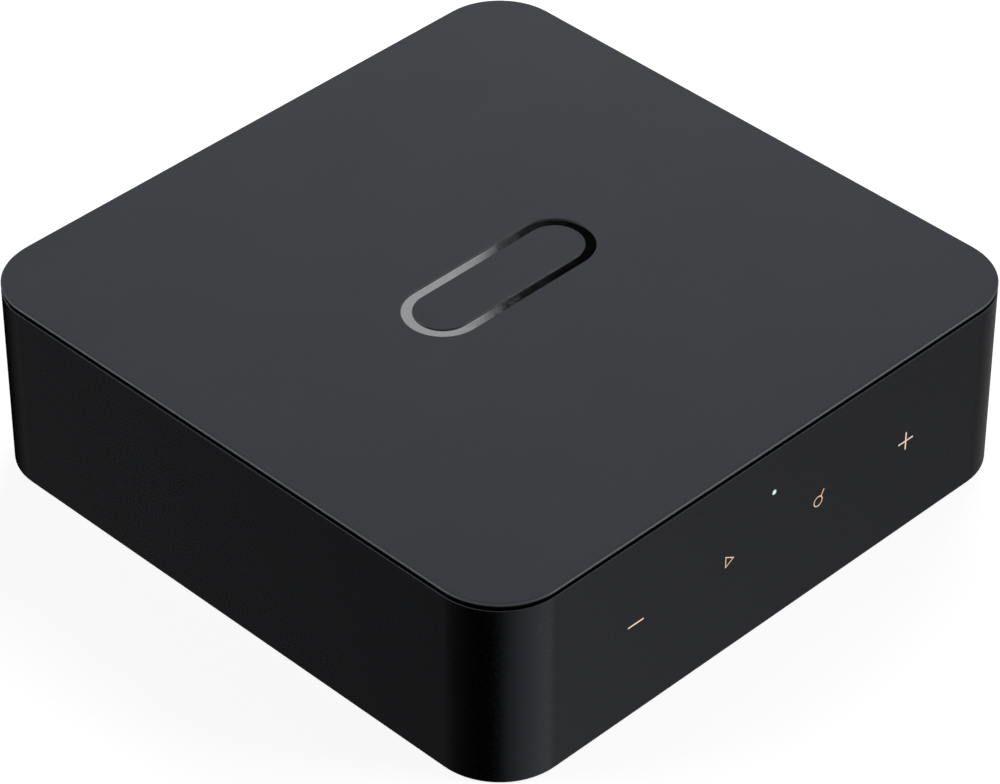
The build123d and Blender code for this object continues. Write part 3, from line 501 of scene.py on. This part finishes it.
screws = {
    "head": 2.5, "headHeight": 1.8, "shank": 1.36, "root": 1.05, "pitch": 1.0, "plainEnd": 0.8, "tip": 0.5,
    "recess": 0.9, "recessRim": 0.12, "recessArm": 1.35, "recessHalf": 0.42, "recessTaper": 0.55, "seed": 4,
    # Share of the head's radius, and height above the head's face
    "pan": ((0.72, 0.0), (0.9, 0.14), (0.98, 0.45), (1.0, 0.9)),
}


def screwShape(length):
    # One screw, head down, middle at the origin: rings of 24 from the recess over the head to the tip
    low = -length / 2
    arm, half, root = screws["recessArm"], screws["recessHalf"], screws["root"]
    middle = (arm + half) / 2
    corner = []
    for quarter in range(4):
        c, d = math.cos(quarter * math.pi / 2), math.sin(quarter * math.pi / 2)
        for x, y in ((arm, -half), (arm, 0), (arm, half), (middle, half), (half, half), (half, middle)):
            corner.append((c * x - d * y, d * x + c * y))
    order = sorted(corner, key=lambda place: math.atan2(place[1], place[0]))
    around = [math.atan2(y, x) for x, y in order]

    def circle(radius, height):
        return [(radius * math.cos(a), radius * math.sin(a), height) for a in around]

    taper = screws["recessTaper"]
    rings = [[(taper * x, taper * y, low + screws["recess"]) for x, y in order],
             [(x, y, low + screws["recessRim"]) for x, y in order]]
    for share, height in (*screws["pan"], (1.0, screws["headHeight"])):
        rings.append(circle(share * screws["head"], low + height))
    z = low + screws["headHeight"]
    rings.append(circle(root, z))
    while z + screws["pitch"] < length / 2 - screws["plainEnd"]:
        for share, radius in ((0.25, root), (0.5, screws["shank"]), (0.75, root)):
            rings.append(circle(radius, z + share * screws["pitch"]))
        z += screws["pitch"]
    rings.append(circle(screws["tip"], length / 2))
    work = bmesh.new()
    loops = [[work.verts.new((x * mm, y * mm, z * mm)) for x, y, z in ring] for ring in rings]
    for lower, upper in zip(loops, loops[1:]):
        for number in range(len(lower)):
            after = (number + 1) % len(lower)
            work.faces.new((lower[number], upper[number], upper[after], lower[after]))
    work.faces.new(loops[0])
    work.faces.new(list(reversed(loops[-1])))
    bmesh.ops.recalc_face_normals(work, faces=work.faces)
    mesh = bpy.data.meshes.new("screwShape")
    work.to_mesh(mesh)
    work.free()
    return mesh


def housingScrews():
    # Each screw stops at a turn of its own
    inputs = [("Shape", "Object"), ("Seed", "Int"), ("Material", "Material")]
    tree, given, taken = emptyTree("housingScrews", inputs)
    shape = tree.nodes.new("GeometryNodeObjectInfo")
    chance = tree.nodes.new("FunctionNodeRandomValue")
    chance.data_type = "FLOAT"
    chance.inputs[3].default_value = math.pi / 2
    lean = tree.nodes.new("ShaderNodeCombineXYZ")
    turn = tree.nodes.new("FunctionNodeEulerToRotation")
    tree.links.new(given.outputs["Shape"], shape.inputs["Object"])
    seed = next(socket for socket in chance.inputs if socket.name == "Seed")
    angle = next(socket for socket in chance.outputs if socket.type == "VALUE" and socket.enabled)
    tree.links.new(given.outputs["Seed"], seed)
    tree.links.new(angle, lean.inputs["Z"])
    tree.links.new(lean.outputs[0], turn.inputs[0])
    placeInTree(tree, given, taken, shape.outputs["Geometry"], turn.outputs[0])
    low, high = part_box("housing_screws")
    shapeObject = bpy.data.objects.new("screwShape", screwShape((high.z - low.z) / mm))
    values = {"Shape": shapeObject, "Seed": screws["seed"], "Material": finishes[slotOf["housing_screws"]]}
    piece = grow("housingScrews", tree, middles("housing_screws"), values)
    bpy.data.objects.remove(shapeObject)
    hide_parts("housing_screws")


housingScrews()
print("set the housing screws")


# Touch marks printed on the front wall

marks = {
    "height": 21.5, "stroke": 0.33, "thinStroke": 0.19, "proud": 0.012, "sunk": 0.03,
    "minus": (-35.9, 4.0), "play": (-11.8, 2.7), "preset": (12.35, 1.2), "plus": (36.65, 4.1),  # x and size
    "roundSides": 32, "presetDrop": 0.3, "handle": (1.1, 1.2), "handleLength": 1.6, "handleWide": 1.2,
    "handleLean": -0.5,
}
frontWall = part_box("housing_shell")[0].y


def addLoop(work, outline, hole=None):
    # A flat printed shape of points (x, z) in mm, with an optional hole of the same count
    near = frontWall - marks["proud"] * mm
    far = frontWall + marks["sunk"] * mm
    rings = [[work.verts.new((x * mm, y, z * mm)) for x, z in points]
             for points in ([outline] + ([hole] if hole else [])) for y in (near, far)]
    count = len(outline)
    for number in range(count):
        after = (number + 1) % count
        work.faces.new((rings[0][number], rings[0][after], rings[1][after], rings[1][number]))
        if hole:
            work.faces.new((rings[2][after], rings[2][number], rings[3][number], rings[3][after]))
            work.faces.new((rings[0][after], rings[0][number], rings[2][number], rings[2][after]))
            work.faces.new((rings[1][number], rings[1][after], rings[3][after], rings[3][number]))
    if not hole:
        work.faces.new(rings[0])
        work.faces.new(list(reversed(rings[1])))


def bar(work, x, z, width, height, turn=0.0):
    a, b = width / 2, height / 2
    cos, sin = math.cos(turn), math.sin(turn)
    corners = [(-a, -b), (a, -b), (a, b), (-a, b)]
    addLoop(work, [(x + p * cos - q * sin, z + p * sin + q * cos) for p, q in corners])


def touchMarks():
    work = bmesh.new()
    z, stroke, thin = marks["height"], marks["stroke"], marks["thinStroke"]
    x, size = marks["minus"]
    bar(work, x, z, size, stroke)
    x, size = marks["plus"]
    bar(work, x, z, size, stroke)
    side = (size - stroke) / 2
    for sign in (-1, 1):
        bar(work, x, z + sign * (side + stroke) / 2, stroke, side)
    x, size = marks["play"]
    reach = size / math.sqrt(3)
    angles = [2 * math.pi * step / 3 for step in range(3)]
    outline, hole = ([(x + radius * math.cos(a), z + radius * math.sin(a)) for a in angles]
                     for radius in (reach, reach - 2 * thin))
    addLoop(work, outline, hole)
    x, radius = marks["preset"]
    middle = z - marks["presetDrop"]
    angles = [2 * math.pi * step / marks["roundSides"] for step in range(marks["roundSides"])]
    outline, hole = ([(x + size * math.cos(a), middle + size * math.sin(a)) for a in angles]
                     for size in (radius, radius - thin))
    addLoop(work, outline, hole)
    across, up = marks["handle"]
    bar(work, x + across, z + up, thin * marks["handleWide"], marks["handleLength"], marks["handleLean"])
    bmesh.ops.recalc_face_normals(work, faces=work.faces)
    mesh = bpy.data.meshes.new("touchMarks")
    work.to_mesh(mesh)
    work.free()
    piece = addObject("touchMarks", mesh)
    # The print glows with a painted highlight
    mesh.materials.append(markGlow)
    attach(piece, "player")


touchMarks()
print("printed the touch marks")


# Studio: white floor and world, soft boxes, and darker surroundings for glossy surfaces

studio = {
    "floorReach": 12.0, "floorAlbedo": 0.30, "floorRough": 0.9, "floorGlow": 0.84, "floorGap": 0.03,
    "worldLight": 0.15, "cardEdge": 45.2, "cardReach": 42.0, "cardBlack": 0.0, "cardGrey": 0.60,
    # Azimuth in degrees, and brightness of what the walls mirror there below the horizon
    "belowHorizon": [
        (-180, 0.012), (-164, 0.0), (-146, 0.0), (-134, 0.05), (-124, 0.235), (-104, 0.46), (-74, 0.63),
        (-56, 0.68), (-45, 0.33), (-37, 0.16), (-20, 0.17), (40, 0.25), (50, 0.0), (86, 0.0), (100, 0.03),
        (113, 0.085), (121, 0.165), (128, 0.15), (134, 0.088), (156, 0.036), (180, 0.012),
    ],
}


def whiteStudioWorld():
    world = bpy.data.worlds.new("studio")
    bpy.context.scene.world = world
    world.use_nodes = True
    tree = world.node_tree
    background = tree.nodes["Background"]
    background.inputs["Color"].default_value = (1, 1, 1, 1)
    coords = tree.nodes.new("ShaderNodeTexCoord")
    split = tree.nodes.new("ShaderNodeSeparateXYZ")
    tree.links.new(coords.outputs["Generated"], split.inputs[0])
    angle = mathNode(tree, "ARCTAN2", split.outputs["Y"], split.outputs["X"])
    degrees = mathNode(tree, "MULTIPLY", angle, 180 / math.pi)
    turn = mathNode(tree, "ADD", mathNode(tree, "DIVIDE", degrees, 360.0), 0.5)
    ramp = tree.nodes.new("ShaderNodeValToRGB")
    stops = ramp.color_ramp.elements
    while len(stops) < len(studio["belowHorizon"]):
        stops.new(0.5)
    for stop, (azimuth, level) in zip(stops, studio["belowHorizon"]):
        stop.position = azimuth / 360 + 0.5
        stop.color = (level, level, level, 1)
    tree.links.new(turn, ramp.inputs["Fac"])
    # Above the horizon a grey and a black card meet in front of the ring's middle
    edge, reach = studio["cardEdge"], studio["cardReach"]
    onGrey = mathNode(tree, "GREATER_THAN", degrees, edge)
    cards = blendValue(tree, onGrey, studio["cardBlack"], studio["cardGrey"])
    offset = mathNode(tree, "ABSOLUTE", mathNode(tree, "SUBTRACT", degrees, edge))
    above = blendValue(tree, mathNode(tree, "GREATER_THAN", offset, reach), cards, 1.0)
    up = mathNode(tree, "GREATER_THAN", split.outputs["Z"], 0.0)
    glossy = blendValue(tree, up, ramp.outputs["Color"], above)
    path = tree.nodes.new("ShaderNodeLightPath")
    lit = blendValue(tree, path.outputs["Is Glossy Ray"], studio["worldLight"], glossy)
    clear = mathNode(tree, "MAXIMUM", path.outputs["Is Camera Ray"], path.outputs["Is Transmission Ray"])
    tree.links.new(blendValue(tree, clear, lit, 1.0), background.inputs["Strength"])


def paleFloor():
    mesh = bpy.data.meshes.new("floor")
    reach = studio["floorReach"]
    low = -studio["floorGap"] * mm
    corners = [(-reach, -reach, low), (reach, -reach, low), (reach, reach, low), (-reach, reach, low)]
    mesh.from_pydata(corners, [], [(0, 1, 2, 3)])
    floor = addObject("floor", mesh)
    material, tree, shader = newTree("paleFloor")
    shader.inputs["Base Color"].default_value = (studio["floorAlbedo"],) * 3 + (1,)
    shader.inputs["Roughness"].default_value = studio["floorRough"]
    shader.inputs["Specular IOR Level"].default_value = 0.0
    shader.inputs["Emission Color"].default_value = (1, 1, 1, 1)
    path = tree.nodes.new("ShaderNodeLightPath")
    seen = mathNode(tree, "MAXIMUM", path.outputs["Is Camera Ray"], path.outputs["Is Transmission Ray"])
    tree.links.new(blendValue(tree, seen, 0.0, studio["floorGlow"]), shader.inputs["Emission Strength"])
    # Seen from under the floor, the player's underside shows
    sides = tree.nodes.new("ShaderNodeNewGeometry")
    clear = tree.nodes.new("ShaderNodeBsdfTransparent")
    either = tree.nodes.new("ShaderNodeMixShader")
    tree.links.new(sides.outputs["Backfacing"], either.inputs["Fac"])
    tree.links.new(shader.outputs[0], either.inputs[1])
    tree.links.new(clear.outputs[0], either.inputs[2])
    tree.links.new(either.outputs[0], tree.nodes["Material Output"].inputs["Surface"])
    mesh.materials.append(material)
    floor.visible_glossy = False


# Degrees, metres and watts
lamps = {
    "rightBox": {"azimuth": -48, "elevation": 34, "distance": 2.2, "size": 1.1, "power": 22.6},
    "leftBox": {"azimuth": 138, "elevation": 34, "distance": 2.2, "size": 1.1, "power": 18},
    "farLamp": {"azimuth": 30, "elevation": 42, "distance": 0.42, "size": 0.3, "power": 1.1, "glossy": False},
}


def lamp(name, azimuth, elevation, distance, size, power, glossy=True):
    # A square soft box that faces the player
    data = bpy.data.lights.new(name, "AREA")
    data.size = size
    data.energy = power
    box = addObject(name, data)
    a, e = math.radians(azimuth), math.radians(elevation)
    away = Vector((math.cos(e) * math.cos(a), math.cos(e) * math.sin(a), math.sin(e)))
    box.location = away * distance
    box.rotation_euler = away.to_track_quat("Z", "Y").to_euler()
    box.visible_camera = False
    box.visible_glossy = glossy


whiteStudioWorld()
paleFloor()
for name, settings in lamps.items():
    lamp(name, **settings)
print("lit the studio")


# Camera, fitted to the player's outline: place in metres, angles in degrees, lens and sensor in mm

camera = {"place": (-0.48945, -0.48942, 0.56375), "down": 38.439, "azimuth": 44.991, "lens": 166.88,
          "sensor": 36.0, "nearest": 0.05}


def aimCamera():
    data = bpy.data.cameras.new("camera")
    data.lens = camera["lens"]
    data.sensor_width = camera["sensor"]
    data.clip_start = camera["nearest"]
    eye = addObject("camera", data)
    down, turn = math.radians(camera["down"]), math.radians(camera["azimuth"])
    sight = Vector((math.cos(down) * math.cos(turn), math.cos(down) * math.sin(turn), -math.sin(down)))
    eye.location = camera["place"]
    eye.rotation_euler = sight.to_track_quat("-Z", "Y").to_euler()
    bpy.context.scene.camera = eye


aimCamera()
bpy.context.scene.view_settings.view_transform = "Standard"
print("aimed the camera")
